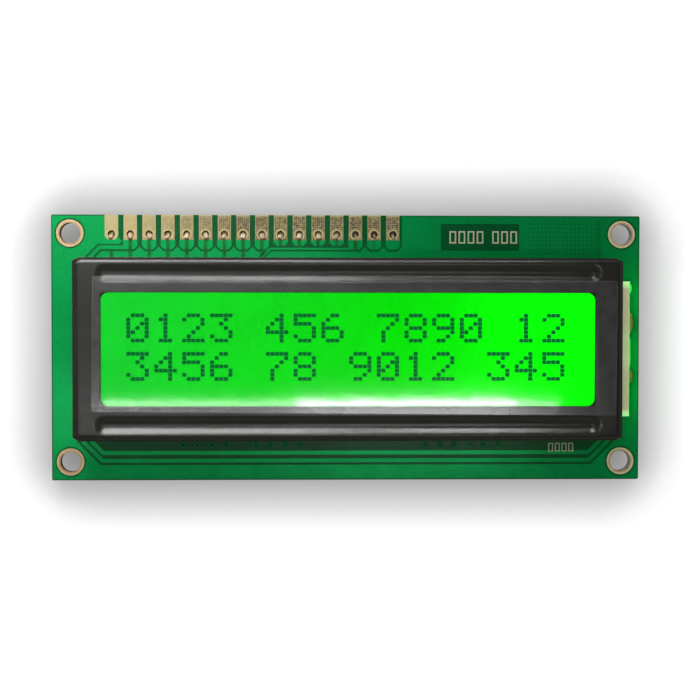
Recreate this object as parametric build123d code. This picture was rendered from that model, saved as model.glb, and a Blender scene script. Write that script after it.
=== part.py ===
from build123d import *
import math
import os

# Character display module: a circuit board with a plated pin header edge, a folded steel
# bezel held by twisted tabs, and inside it a glass display cell on an edge-to-edge backlight.
# Millimetres. X runs along the board, Y across it towards the header pads, Z out of the
# display's face. The origin is under the centre of the four mounting holes, in the plane
# that the ends of the bezel's tabs stand on.

# Window and bezel
window_length = 64.5
window_width = 14.8
window_corner_radius = 1.0
face_border_end = 3.77
sheet = 0.4
bend_inner_radius = 0.4
corner_cut_length = 0.9
corner_cut_width = 0.45

# Troughs pressed into the bezel's face, which clamp the glass
trough_inset = 0.95
trough_width = 2.3
trough_wall_run = 0.85
trough_end_inset = 3.0
trough_to_window = 1.35

# Display glass
glass_clearance = 0.35
glass_thickness = 1.1
contact_ledge = 2.25
cell_gap = 0.1
seal_width = 1.0
seal_clearance = 0.02
polarizer_thickness = 0.2
polarizer_headroom = 0.3
polarizer_end_inset = 1.0
polarizer_side_gap = 0.3
rear_polarizer_inset = 0.5

# Elastomer contact strips
strip_side_gap = 0.225
strip_end_inset = 1.5

# Backlight
backlight_board_thickness = 0.8
frame_height = 4.65
frame_wall = 1.0
frame_end_clearance = 0.3
bridge_thickness = 1.3
bridge_cover = 1.0
bridge_overhang = 1.45
block_clearance = 0.05
block_flange = 0.3
diffuser_thickness = 0.15
notch_clearance = 0.2

# Light-emitting chips under the light block
chip_columns = 4
chip_rows = 2
chip_size = 0.9
chip_height = 0.4
chip_row_spacing = 8.0
pocket_clearance = 0.25

# Backlight leads and their solder
lead_spacing = 7.62
lead_foot = 0.73
lead_width = 0.8
lead_thickness = 0.3
lead_bend_radius = 0.25
lead_clearance = 0.05
lead_hole_clearance = 0.07
lead_projection = 1.0
lead_to_edge = 1.1
solder_width = 2.4
solder_height = 0.75
solder_cone_height = 0.7
solder_wetting = 0.4
solder_slope = 0.35

# Circuit board
board_thickness = 1.6
board_corner_radius = 0.2
copper_thickness = 0.05

# Mounting holes
hole_diameter = 2.8
ring_width = 0.45
ring_to_edge = 0.65

# Header pads
pin_count = 16
pin_pitch = 2.54
first_pin_offset = 5.6
pad_gap = 0.74
pad_hole_diameter = 1.0
pad_hole_inset = 2.6
pad_reach = 0.77
first_pad_end_radius = 0.7
pad_to_bezel = 2.63

# Bezel tabs and their slots
tab_columns = 3
tab_width = 3.0
tab_end_inset = 8.9
tab_twist = 30.0
slot_clearance = 0.15

# Parts on the underside
cover_diameter = 14.0
cover_height = 1.5
cover_rim_height = 0.8
cover_rim_run = 0.9
cover_crown_diameter = 6.8
cover_crown_rise = 0.1
cover_spacing = 32.0
cover_offset = -1.0
rest_clearance = 0.4
small_part_length = 2.0
small_part_width = 1.25
cap_length = 0.4
cap_thickness = 0.03
resistor_height = 0.5
resistor_count = 6
resistor_pitch = 2.3
capacitor_height = 0.9
capacitor_count = 2
capacitor_pitch = 5.0

# Protective film
film_length = 68.5
film_width = 17.6
film_thickness = 0.08
film_corner_radius = 0.3
film_shift_x = 0.87
film_shift_y = 0.45
film_turn = -0.46

# Bezel outline
face_border_side = trough_inset + trough_width + trough_to_window
bezel_length = window_length + 2 * face_border_end
bezel_width = window_width + 2 * face_border_side
bend_outer_radius = bend_inner_radius + sheet

# Glass outline
front_glass_length = bezel_length - 2 * (sheet + glass_clearance)
front_glass_width = bezel_width - 2 * (sheet + glass_clearance)
rear_glass_width = front_glass_width - 2 * contact_ledge
front_polarizer_length = front_glass_length - 2 * polarizer_end_inset
trough_inner_edge = bezel_width / 2 - trough_inset - trough_width
front_polarizer_width = 2 * (trough_inner_edge - polarizer_side_gap)
rear_polarizer_width = rear_glass_width - 2 * rear_polarizer_inset

# Heights, from the plane that the tabs stand on
tab_drop = cover_height + rest_clearance
board_bottom = tab_drop
board_top = board_bottom + board_thickness
backlight_bottom = board_top + backlight_board_thickness
backlight_top = backlight_bottom + frame_height
diffuser_top = backlight_top + diffuser_thickness
rear_glass_bottom = diffuser_top + polarizer_thickness
cell_bottom = rear_glass_bottom + glass_thickness
front_glass_bottom = cell_bottom + cell_gap
front_glass_top = front_glass_bottom + glass_thickness
trough_depth = polarizer_thickness + polarizer_headroom
face_underside = front_glass_top + trough_depth
face_top = face_underside + sheet

# Backlight outline
backlight_left = -(bezel_length / 2 - sheet - frame_end_clearance)
bridge_start = front_glass_length / 2 - bridge_cover
bridge_end = bezel_length / 2 + bridge_overhang
bridge_bottom = backlight_top - bridge_thickness
block_end = bridge_end + block_clearance + block_flange
backlight_board_end = block_end + lead_foot
lead_inner_face = backlight_board_end + lead_clearance
lead_outer_face = lead_inner_face + lead_thickness
lead_x = (lead_inner_face + lead_outer_face) / 2
backlight_width = rear_glass_width
light_half_width = backlight_width / 2 - frame_wall
light_left = backlight_left + frame_wall

# Board outline, with room for the leads at its ends and the header along its side
hole_inset = ring_to_edge + ring_width + hole_diameter / 2
pad_length = pad_hole_inset + pad_reach
board_length = 2 * (lead_outer_face + lead_to_edge)
board_width = bezel_width + 2 * (pad_length + pad_to_bezel)
hole_x = board_length / 2 - hole_inset
hole_y = board_width / 2 - hole_inset

# Header and tab places
pad_width = pin_pitch - pad_gap
pad_hole_y = board_width / 2 - pad_hole_inset
first_pin_x = -hole_x + first_pin_offset
tab_y = (bezel_width - sheet) / 2
tab_span = bezel_length - 2 * tab_end_inset
lead_hole_diameter = math.hypot(lead_width, lead_thickness) + 2 * lead_hole_clearance
last_cover_edge = cover_offset + cover_spacing / 2 + cover_diameter / 2
capacitor_x = (last_cover_edge + lead_x) / 2


def block(x0, x1, y0, y1, z0, z1):
    """A rectangular block between two corners."""
    corner = Align.MIN
    return Pos(x0, y0, z0) * Box(x1 - x0, y1 - y0, z1 - z0, align=(corner, corner, corner))


def slab(length, width, z0, z1):
    """A flat plate centred on the origin."""
    return block(-length / 2, length / 2, -width / 2, width / 2, z0, z1)


def drum(x, y, diameter, z0, z1):
    """An upright cylinder."""
    base = Align.MIN
    return Pos(x, y, z0) * Cylinder(diameter / 2, z1 - z0, align=(Align.CENTER, Align.CENTER, base))


def barrel(x, y, diameter, z0, z1):
    """An upright eight-sided prism round a cylinder of this diameter, for plating inside the board."""
    outline = RegularPolygon(diameter / 2, 8, major_radius=False)
    return Pos(x, y, z0) * extrude(outline, z1 - z0)


def evenly(count, pitch):
    """Places of a centred row."""
    return [(i - (count - 1) / 2) * pitch for i in range(count)]


def pin_places():
    """Centres of the header holes along X."""
    return [first_pin_x + i * pin_pitch for i in range(pin_count)]


def tab_places():
    """Centres of the bezel's tabs."""
    return [(x, side * tab_y) for side in (-1, 1) for x in evenly(tab_columns, tab_span / (tab_columns - 1))]


def hole_places():
    """Centres of the mounting holes."""
    return [(sx * hole_x, sy * hole_y) for sy in (1, -1) for sx in (-1, 1)]


def lead_places():
    """Places of the backlight leads along Y."""
    return evenly(2, lead_spacing)


def circuit_board():
    """Board with mounting, header and lead holes, and slots for the bezel's tabs."""
    outline = RectangleRounded(board_length, board_width, board_corner_radius)
    board = Pos(0, 0, board_bottom) * extrude(outline, board_thickness)
    cuts = []
    for x, y in hole_places():
        cuts.append(barrel(x, y, hole_diameter + 2 * copper_thickness, board_bottom, board_top))
    for x in pin_places():
        cuts.append(barrel(x, pad_hole_y, pad_hole_diameter + 2 * copper_thickness, board_bottom, board_top))
    for y in lead_places():
        cuts.append(drum(lead_x, y, lead_hole_diameter, board_bottom, board_top))
    for x, y in tab_places():
        slot = slab(tab_width + 2 * slot_clearance, sheet + 2 * slot_clearance, board_bottom, board_top)
        cuts.append(Pos(x, y, 0) * slot)
    return board - cuts


def mounting_ring(x, y):
    """Plated hole: a ring on each face of the board, joined by the barrel."""
    outer = hole_diameter + 2 * ring_width
    ring = drum(x, y, outer, board_top, board_top + copper_thickness)
    ring += drum(x, y, outer, board_bottom - copper_thickness, board_bottom)
    ring += barrel(x, y, hole_diameter + 2 * copper_thickness, board_bottom, board_top)
    return ring - drum(x, y, hole_diameter, board_bottom - copper_thickness, board_top + copper_thickness)


def header_pad(x, number):
    """Plated header hole: an edge pad on the display side, an eight-sided pad behind, and the barrel."""
    strip = Pos(x, board_width / 2 - pad_length / 2) * Rectangle(pad_width, pad_length)
    if number == 1:
        inner_corners = strip.vertices().sort_by(Axis.Y)[:2]
        strip = fillet(inner_corners, first_pad_end_radius)
    pad = Pos(0, 0, board_top) * extrude(strip, copper_thickness)
    pad += barrel(x, pad_hole_y, pad_width, board_bottom - copper_thickness, board_bottom)
    pad += barrel(x, pad_hole_y, pad_hole_diameter + 2 * copper_thickness, board_bottom, board_top)
    lower, upper = board_bottom - copper_thickness, board_top + copper_thickness
    return pad - drum(x, pad_hole_y, pad_hole_diameter, lower, upper)


def cut_corner_outline(length, width, cut_length, cut_width):
    """A rectangle whose four corners are cut off."""
    hx, hy = length / 2, width / 2
    right = [(hx, -hy + cut_width), (hx, hy - cut_width), (hx - cut_length, hy)]
    left = [(-hx + cut_length, hy), (-hx, hy - cut_width), (-hx, -hy + cut_width)]
    foot = [(-hx + cut_length, -hy), (hx - cut_length, -hy)]
    return make_face(Polyline(*right, *left, *foot, close=True))


def folded_block(length, width, top, radius, cut_length, cut_width):
    """The space inside one skin of the bezel, with its upper edges rounded."""
    outline = cut_corner_outline(length, width, cut_length, cut_width)
    solid = Pos(0, 0, board_top) * extrude(outline, top - board_top)
    return fillet(solid.faces().sort_by(Axis.Z)[-1].edges(), radius)


def trough(mouth_z):
    """A long shallow dish with sloping walls and round ends, as pressed into the face."""
    length = bezel_length - 2 * trough_end_inset
    mouth = Pos(0, 0, mouth_z) * SlotOverall(length, trough_width)
    floor_length = length - 2 * trough_wall_run
    floor = Pos(0, 0, mouth_z - trough_depth) * SlotOverall(floor_length, trough_width - 2 * trough_wall_run)
    return loft([mouth.face(), floor.face()], ruled=True)


def bezel_tab(x, y):
    """A tab that drops through its slot and is twisted under the board."""
    straight = slab(tab_width, sheet, board_bottom, board_top)
    start = Pos(0, 0, board_bottom) * Rectangle(tab_width, sheet)
    end = Rot(0, 0, tab_twist) * Rectangle(tab_width, sheet)
    twisted = loft([end.face(), start.face()], ruled=True)
    return Pos(x, y, 0) * (straight + twisted)


def bezel():
    """Folded steel frame over the glass, with its window, troughs, end notches and tabs."""
    inner_cut = sheet * (1 - 1 / math.sqrt(2))
    skin = folded_block(bezel_length, bezel_width, face_top, bend_outer_radius,
                        corner_cut_length, corner_cut_width)
    hollow = folded_block(bezel_length - 2 * sheet, bezel_width - 2 * sheet, face_underside,
                          bend_inner_radius, corner_cut_length - inner_cut, corner_cut_width - inner_cut)
    shell = skin - hollow
    trough_y = trough_inner_edge + trough_width / 2
    for side in (-1, 1):
        shell += Pos(0, side * trough_y, 0) * trough(face_underside)
    for side in (-1, 1):
        shell -= Pos(0, side * trough_y, 0) * trough(face_top)
    opening = RectangleRounded(window_length, window_width, window_corner_radius)
    shell -= Pos(0, 0, face_underside) * extrude(opening, sheet)
    notch_width = backlight_width + 2 * notch_clearance
    shell -= slab(bezel_length, notch_width, board_top, backlight_top + notch_clearance)
    open_top = face_top - bend_outer_radius
    for sx in (-1, 1):
        for sy in (-1, 1):
            slit = slab(2 * (corner_cut_length + sheet), 2 * (corner_cut_width + sheet), board_top, open_top)
            shell -= Pos(sx * bezel_length / 2, sy * bezel_width / 2, 0) * slit
    for x, y in tab_places():
        shell += bezel_tab(x, y)
    return shell


def protective_film():
    """Clear film laid a little askew over the window."""
    sheet_outline = RectangleRounded(film_length, film_width, film_corner_radius)
    place = Pos(film_shift_x, film_shift_y, face_top) * Rot(0, 0, film_turn)
    return place * extrude(sheet_outline, film_thickness)


def seal_outline():
    """Outer edge of the cell's seal."""
    return Rectangle(front_glass_length - 2 * seal_clearance, rear_glass_width - 2 * seal_clearance)


def cell_seal():
    """Thin frame of glue between the two glasses."""
    ring = seal_outline() - liquid_outline(0)
    return Pos(0, 0, cell_bottom) * extrude(ring, cell_gap)


def liquid_outline(clearance):
    """Area inside the seal."""
    margin = 2 * (seal_clearance + seal_width + clearance)
    return Rectangle(front_glass_length - margin, rear_glass_width - margin)


def liquid_crystal():
    """The layer that fills the cell inside its seal."""
    return Pos(0, 0, cell_bottom) * extrude(liquid_outline(seal_clearance), cell_gap)


def contact_strip(side):
    """Elastomer strip that joins the board to the ledge of the front glass."""
    length = front_glass_length - 2 * strip_end_inset
    strip = slab(length, contact_ledge - 2 * strip_side_gap, board_top, front_glass_bottom)
    return Pos(0, side * (rear_glass_width + contact_ledge) / 2, 0) * strip


def backlight_board():
    """Thin board that carries the light-emitting chips and the two leads."""
    half = backlight_width / 2
    return block(backlight_left, backlight_board_end, -half, half, board_top, backlight_bottom)


def backlight_frame():
    """White frame round the light block, with a bridge over its end."""
    half = backlight_width / 2
    frame = block(backlight_left, bridge_end, -half, half, backlight_bottom, backlight_top)
    frame -= block(light_left, bridge_start, -light_half_width, light_half_width,
                   backlight_bottom, backlight_top)
    frame -= block(bridge_start, bridge_end, -light_half_width, light_half_width,
                   backlight_bottom, bridge_bottom)
    return frame


def chip_places():
    """Centres of the light-emitting chips."""
    pitch = (bridge_start - light_left) / chip_columns
    middle = (bridge_start + light_left) / 2
    return [(middle + x, y) for y in evenly(chip_rows, chip_row_spacing) for x in evenly(chip_columns, pitch)]


def light_block():
    """Milky block that spreads the light, stepped under the bridge and flanged at its end."""
    half = light_half_width - block_clearance
    outer = backlight_width / 2
    low_top = bridge_bottom - block_clearance
    body = block(light_left + block_clearance, bridge_start - block_clearance, -half, half,
                 backlight_bottom, backlight_top)
    body += block(bridge_start - block_clearance, block_end, -half, half, backlight_bottom, low_top)
    body += block(block_end - block_flange, block_end, -outer, outer, backlight_bottom, low_top)
    pocket_side = chip_size + 2 * pocket_clearance
    pocket_top = backlight_bottom + chip_height + pocket_clearance
    for x, y in chip_places():
        body -= Pos(x, y, 0) * slab(pocket_side, pocket_side, backlight_bottom, pocket_top)
    return body


def light_chip(x, y):
    """One light-emitting chip."""
    return Pos(x, y, 0) * slab(chip_size, chip_size, backlight_bottom, backlight_bottom + chip_height)


def lead_shape(y):
    """Flat lead: a foot on the backlight board, bent down through the circuit board."""
    y0, y1 = y - lead_width / 2, y + lead_width / 2
    foot_top = backlight_bottom + lead_thickness
    foot = block(block_end + lead_clearance, lead_outer_face, y0, y1, backlight_bottom, foot_top)
    leg = block(lead_inner_face, lead_outer_face, y0, y1, board_bottom - lead_projection, foot_top)
    lead = foot + leg
    bend = lead.edges().filter_by(Axis.Y).group_by(Axis.Z)[-1].sort_by(Axis.X)[-1]
    return fillet(bend, lead_bend_radius)


def lead_solder(y):
    """Solder mound over the lead's foot, and the cone round its end under the circuit board."""
    start = block_end + lead_clearance
    end = lead_outer_face + lead_clearance
    mound = block(start, end, y - solder_width / 2, y + solder_width / 2,
                  backlight_bottom, backlight_bottom + solder_height)
    mound = chamfer(mound.edges().filter_by(Axis.Z), (end - start) * solder_slope)
    mound = chamfer(mound.faces().sort_by(Axis.Z)[-1].edges(), solder_height * solder_slope)
    top_radius = lead_hole_diameter / 2 + solder_wetting
    cone = Cone(lead_width / 2 + lead_clearance, top_radius, solder_cone_height,
                align=(Align.CENTER, Align.CENTER, Align.MAX))
    cone = Pos(lead_x, y, board_bottom) * cone
    lead = lead_shape(y)
    return Compound([mound - lead, cone - lead])


def chip_cover(x):
    """Low dome of black resin over a bonded chip on the underside, with a steep rim and a flattish crown."""
    rim = (cover_diameter / 2, 0)
    shoulder = (cover_diameter / 2 - cover_rim_run, -cover_rim_height)
    crown_edge = (cover_crown_diameter / 2, cover_crown_rise - cover_height)
    profile = make_face(Polyline((0, 0), rim, shoulder, crown_edge, (0, -cover_height), close=True))
    return Pos(x, 0, board_bottom) * revolve(Plane.XZ * profile, Axis.Z)


def small_part(x, y, height):
    """Surface-mounted resistor or capacitor: a body with a metal cap over each end."""
    z1 = board_bottom - cap_thickness
    body = slab(small_part_length, small_part_width, z1 - height, z1)
    cap_width = small_part_width + 2 * cap_thickness
    cap_x = small_part_length / 2 + cap_thickness - cap_length / 2
    for side in (-1, 1):
        cap = slab(cap_length, cap_width, z1 - height - cap_thickness, board_bottom)
        body += Pos(side * cap_x, 0, 0) * cap
    return Pos(x, y, 0) * body


def build():
    """Every piece by its node's name."""
    pieces = {
        "circuit_board": circuit_board(),
        "bezel": bezel(),
        "protective_film": protective_film(),
        "front_polarizer": slab(front_polarizer_length, front_polarizer_width,
                                front_glass_top, front_glass_top + polarizer_thickness),
        "front_glass": slab(front_glass_length, front_glass_width, front_glass_bottom, front_glass_top),
        "cell_seal": cell_seal(),
        "liquid_crystal": liquid_crystal(),
        "rear_glass": slab(front_glass_length, rear_glass_width, rear_glass_bottom, cell_bottom),
        "rear_polarizer": slab(front_polarizer_length, rear_polarizer_width, diffuser_top, rear_glass_bottom),
        "diffuser_film": slab(front_polarizer_length, rear_glass_width, backlight_top, diffuser_top),
        "upper_contact_strip": contact_strip(1),
        "lower_contact_strip": contact_strip(-1),
        "backlight_board": backlight_board(),
        "backlight_frame": backlight_frame(),
        "light_block": light_block(),
    }
    for number, (x, y) in enumerate(chip_places(), 1):
        pieces[f"light_chip_{number}"] = light_chip(x, y)
    for number, y in enumerate(lead_places(), 1):
        pieces[f"backlight_lead_{number}"] = lead_shape(y)
        pieces[f"lead_solder_{number}"] = lead_solder(y)
    for number, (x, y) in enumerate(hole_places(), 1):
        pieces[f"mounting_ring_{number}"] = mounting_ring(x, y)
    for number, x in enumerate(pin_places(), 1):
        pieces[f"header_pad_{number:02d}"] = header_pad(x, number)
    for number, x in enumerate(evenly(2, cover_spacing), 1):
        pieces[f"chip_cover_{number}"] = chip_cover(cover_offset + x)
    for number, y in enumerate(evenly(resistor_count, resistor_pitch), 1):
        pieces[f"resistor_{number}"] = small_part(cover_offset, y, resistor_height)
    for number, y in enumerate(evenly(capacitor_count, capacitor_pitch), 1):
        pieces[f"capacitor_{number}"] = small_part(capacitor_x, y, capacitor_height)
    return pieces


os.makedirs("parts", exist_ok=True)
for name, piece in build().items():
    export_step(piece, f"parts/{name}.step")
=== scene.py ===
import math

import bmesh
import bpy
from mathutils import Matrix, Vector


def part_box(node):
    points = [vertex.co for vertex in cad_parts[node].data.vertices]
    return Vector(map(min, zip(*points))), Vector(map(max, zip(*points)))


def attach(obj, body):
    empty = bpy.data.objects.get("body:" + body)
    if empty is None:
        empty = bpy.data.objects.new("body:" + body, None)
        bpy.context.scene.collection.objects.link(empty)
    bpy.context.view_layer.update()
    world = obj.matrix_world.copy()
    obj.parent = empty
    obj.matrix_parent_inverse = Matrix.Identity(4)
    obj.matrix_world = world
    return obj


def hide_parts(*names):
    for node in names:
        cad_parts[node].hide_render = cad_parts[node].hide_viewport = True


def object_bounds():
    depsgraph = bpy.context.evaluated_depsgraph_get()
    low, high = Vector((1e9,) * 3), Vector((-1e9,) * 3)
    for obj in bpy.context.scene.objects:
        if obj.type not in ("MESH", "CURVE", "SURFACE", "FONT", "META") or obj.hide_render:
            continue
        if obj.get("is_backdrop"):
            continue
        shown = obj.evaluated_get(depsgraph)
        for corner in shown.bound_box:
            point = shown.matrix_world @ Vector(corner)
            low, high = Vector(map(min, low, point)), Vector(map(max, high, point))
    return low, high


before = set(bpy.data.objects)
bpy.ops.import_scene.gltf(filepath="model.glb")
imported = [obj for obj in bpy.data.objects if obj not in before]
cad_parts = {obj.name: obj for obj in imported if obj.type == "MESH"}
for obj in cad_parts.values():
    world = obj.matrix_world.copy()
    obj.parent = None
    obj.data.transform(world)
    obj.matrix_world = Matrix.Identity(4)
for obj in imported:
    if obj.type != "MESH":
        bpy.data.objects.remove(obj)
cad_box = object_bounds()

# Everything here is in metres. X runs along the board, Y across it towards the header pads
# and Z out of the display's face.
MM = 0.001

# Places read from the frame
board_low, board_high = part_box("circuit_board")
bezel_low, bezel_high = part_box("bezel")
film_low, film_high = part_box("protective_film")
liquid_low, liquid_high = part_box("liquid_crystal")
bridge_low, bridge_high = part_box("backlight_frame")
board_top, board_bottom = board_high.z, board_low.z
pad_nodes = [f"header_pad_{i:02d}" for i in range(1, 17)]
ring_nodes = [f"mounting_ring_{i}" for i in range(1, 5)]


def middle(node):
    low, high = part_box(node)
    return (low + high) / 2


pad_x = [middle(node).x for node in pad_nodes]
pad_pitch = pad_x[1] - pad_x[0]
pad_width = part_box(pad_nodes[1])[1].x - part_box(pad_nodes[1])[0].x
ring_places = [middle(node) for node in ring_nodes]
ring_radius = (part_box(ring_nodes[0])[1].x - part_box(ring_nodes[0])[0].x) / 2
HOLE_TO_EDGE, HOLE_RADIUS, PAD_REACH = 2.6 * MM, 0.5 * MM, 0.77 * MM
LAST_FULL_BEAD = 13
hole_y = board_high.y - HOLE_TO_EDGE
pad_foot = hole_y - PAD_REACH

# Copper under the solder mask. BOARD_EDGE is how far it stays inside the board's edge.
COPPER = 0.035 * MM
BOARD_EDGE, BEZEL_OVERLAP = 0.15 * MM, 0.3 * MM
PAD_CLEARANCE, RING_CLEARANCE = 0.30 * MM, 0.22 * MM
SKIRT_END, SHORT_SKIRT_END = 13.35 * MM, 13.85 * MM
SKIRT_CLEARANCE = 0.3 * MM
SKIRT_CHAMFER = 0.45 * MM
POUR_EDGE_Y = 13.08 * MM
ROUTED_PADS = (10, 11, 12, 13)
TRACK_WIDTH, FIRST_TRACK_WIDTH, ROUTED_TRACK_WIDTH = 0.54 * MM, 0.5 * MM, 0.26 * MM
FIRST_TRACK_Y, ROUTED_TRACK_Y = 13.6 * MM, 13.46 * MM
INNER_TRACK_Y, OUTER_TRACK_Y = -14.3 * MM, -15.36 * MM
INNER_TRACK_END, OUTER_TRACK_END = 34.6 * MM, 35.75 * MM
OUTER_GAP_Y = -15.94 * MM
VIA_Y = -13.25 * MM
# Each row's first place in millimetres, its count and its pitch in millimetres
VIA_ROWS = ((-22.3, 4, 1.95), (-12.43, 4, 2.0), (10.67, 6, 2.0))
UNDER_BEZEL_Y = 11.8 * MM
LABEL_LOW, LABEL_HIGH = Vector((12.78, 13.25)) * MM, Vector((23.46, 16.87)) * MM
HATCH_LOW, HATCH_HIGH = Vector((24.4, 12.4)) * MM, Vector((34.4, 17.3)) * MM
SMALL_BOXES_CENTRE = Vector((29.3, -13.6)) * MM

# Display characters
CHARACTER_PITCH = 3.65 * MM
DOT_PITCH_X, DOT_PITCH_Y = 0.60 * MM, 0.55 * MM
DOT_WIDTH, DOT_HEIGHT = 0.55 * MM, 0.50 * MM
LINE_PITCH = 5.05 * MM
FIRST_DOT_X, FIRST_DOT_Y = -28.88 * MM, 4.43 * MM
DISPLAY_LINES = ("0123 456 7890 12", "3456 78 9012 345")
DIGITS = {
    "0": "01110 10001 10011 10101 11001 10001 01110",
    "1": "00100 01100 00100 00100 00100 00100 01110",
    "2": "01110 10001 00001 00010 00100 01000 11111",
    "3": "11111 00010 00100 00010 00001 10001 01110",
    "4": "00010 00110 01010 10010 11111 00010 00010",
    "5": "11111 10000 11110 00001 00001 10001 01110",
    "6": "00110 01000 10000 11110 10001 10001 01110",
    "7": "11111 00001 00010 00100 01000 01000 01000",
    "8": "01110 10001 10001 01110 10001 10001 01110",
    "9": "01110 10001 10001 01111 00001 00010 01100",
}

# Protective film
FILM_LENGTH, FILM_WIDTH, FILM_CORNER = 68.5 * MM, 17.6 * MM, 0.3 * MM
FILM_TURN = math.radians(-0.46)
film_centre = ((film_low + film_high) / 2).xy
WINDOW_HALF = Vector((32.25, 7.4)) * MM

# Underside: the bezel's tabs, the domes' borders and their tracks
TAB_PLACES = [Vector((x, y)) for x in (-27 * MM, 0, 27 * MM) for y in (-UNDER_BEZEL_Y, UNDER_BEZEL_Y)]
DOME_BORDER, BORDER_LINE = 7.55 * MM, 0.2 * MM
FAN_START, FAN_SHORT, FAN_LONG, FAN_COUNT = 6.6 * MM, 8.7 * MM, 9.3 * MM, 36


# Material helpers

class Finish:
    """A node material that is built up from patterns on Object coordinates."""

    def __init__(self, name):
        self.material = bpy.data.materials.new(name)
        self.material.use_nodes = True
        self.nodes = self.material.node_tree.nodes
        self.links = self.material.node_tree.links
        self.shader = self.nodes["Principled BSDF"]
        self.place = self.nodes.new("ShaderNodeTexCoord").outputs["Object"]

    def plug(self, socket, value):
        """Links an output to a socket, or sets a number or a colour on it."""
        if isinstance(value, tuple):
            socket.default_value = (*value, 1) if len(value) == 3 and socket.type == "RGBA" else value
        elif isinstance(value, (int, float)):
            socket.default_value = value
        else:
            self.links.new(value, socket)

    def noise(self, size, detail=3.0, place=None):
        """Cloudy noise whose spots are about size across."""
        made = self.nodes.new("ShaderNodeTexNoise")
        made.inputs["Scale"].default_value = 1 / size
        made.inputs["Detail"].default_value = detail
        made.inputs["Roughness"].default_value = 0.6
        self.links.new(place or self.place, made.inputs["Vector"])
        return made.outputs["Fac"]

    def specks(self, spacing, share):
        """Scattered small dots, 1 on a dot and 0 between them."""
        made = self.nodes.new("ShaderNodeTexVoronoi")
        made.inputs["Scale"].default_value = 1 / spacing
        self.links.new(self.place, made.inputs["Vector"])
        dots = self.between(made.outputs["Distance"], 0.10, 0.05)
        return self.maths("MULTIPLY", dots, self.between(self.noise(2.6 * spacing), 1 - share, 1.04 - share))

    def stripes(self, width, axis):
        """Soft stripes across an axis."""
        made = self.nodes.new("ShaderNodeTexWave")
        made.bands_direction = axis
        made.inputs["Scale"].default_value = math.pi / 10 / width
        self.links.new(self.place, made.inputs["Vector"])
        return made.outputs["Fac"]

    def ramp(self, value, *stops):
        """Greys or colours along a value. Each stop is a place and its grey or colour."""
        made = self.nodes.new("ShaderNodeValToRGB")
        elements = made.color_ramp.elements
        while len(elements) < len(stops):
            elements.new(1.0)
        for element, (at, colour) in zip(elements, stops):
            element.position = at
            element.color = (*colour, 1) if isinstance(colour, tuple) else (colour, colour, colour, 1)
        self.links.new(value, made.inputs["Fac"])
        return made.outputs["Color"]

    def between(self, value, start, end):
        """0 up to start, 1 from end on, and smooth between them."""
        made = self.nodes.new("ShaderNodeMapRange")
        made.interpolation_type = "SMOOTHSTEP"
        made.inputs["From Min"].default_value = start
        made.inputs["From Max"].default_value = end
        self.links.new(value, made.inputs["Value"])
        return made.outputs["Result"]

    def maths(self, operation, first, second=0.0):
        made = self.nodes.new("ShaderNodeMath")
        made.operation = operation
        self.plug(made.inputs[0], first)
        self.plug(made.inputs[1], second)
        return made.outputs["Value"]

    def blend(self, share, first, second, mode="MIX"):
        """Mixes two colours by a share."""
        made = self.nodes.new("ShaderNodeMix")
        made.data_type = "RGBA"
        made.blend_type = mode
        for index, value in ((0, share), (6, first), (7, second)):
            self.plug(made.inputs[index], value)
        return made.outputs[2]

    def axes(self, place=None):
        made = self.nodes.new("ShaderNodeSeparateXYZ")
        self.links.new(place or self.place, made.inputs["Vector"])
        return made.outputs["X"], made.outputs["Y"], made.outputs["Z"]

    def turned(self, centre, turn):
        """Object coordinates measured from a centre and turned about Z."""
        made = self.nodes.new("ShaderNodeMapping")
        made.vector_type = "TEXTURE"
        made.inputs["Location"].default_value = (*centre, 0)
        made.inputs["Rotation"].default_value = (0, 0, turn)
        self.links.new(self.place, made.inputs["Vector"])
        return made.outputs["Vector"]

    def from_holes(self):
        """Millimetres from the nearest header hole: across its pad, along it, and straight."""
        x, y, _ = self.axes()
        turns = self.maths("DIVIDE", self.maths("SUBTRACT", x, pad_x[0]), pad_pitch)
        part = self.maths("SUBTRACT", self.maths("FRACT", self.maths("ADD", turns, 0.5)), 0.5)
        across = self.maths("MULTIPLY", part, pad_pitch / MM)
        along = self.maths("DIVIDE", self.maths("SUBTRACT", y, hole_y), MM)
        return self.maths("ABSOLUTE", across), along, self.straight(across, along)

    def straight(self, across, along):
        """The straight distance that two distances at right angles make."""
        squares = self.maths("MULTIPLY", across, across), self.maths("MULTIPLY", along, along)
        return self.maths("SQRT", self.maths("ADD", *squares))

    def level(self):
        """1 on level faces and 0 on upright ones."""
        normal = self.nodes.new("ShaderNodeNewGeometry").outputs["Normal"]
        return self.between(self.maths("ABSOLUTE", self.axes(normal)[2]), 0.4, 0.6)

    def set(self, **values):
        """Sets the shader's sockets."""
        for key, value in values.items():
            name = key.replace("_", " ").title().replace("Ior", "IOR")
            self.plug(self.shader.inputs[name], value)
        return self

    def bump(self, height, depth, edge=0.0):
        """Raises the surface by a pattern. Edges can be softened over a radius too."""
        made = self.nodes.new("ShaderNodeBump")
        made.inputs["Distance"].default_value = depth
        if edge:
            rounded = self.nodes.new("ShaderNodeBevel")
            rounded.samples = 8
            rounded.inputs["Radius"].default_value = edge
            self.links.new(rounded.outputs["Normal"], made.inputs["Normal"])
        self.links.new(height, made.inputs["Height"])
        self.links.new(made.outputs["Normal"], self.shader.inputs["Normal"])
        return self


# Materials

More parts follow.
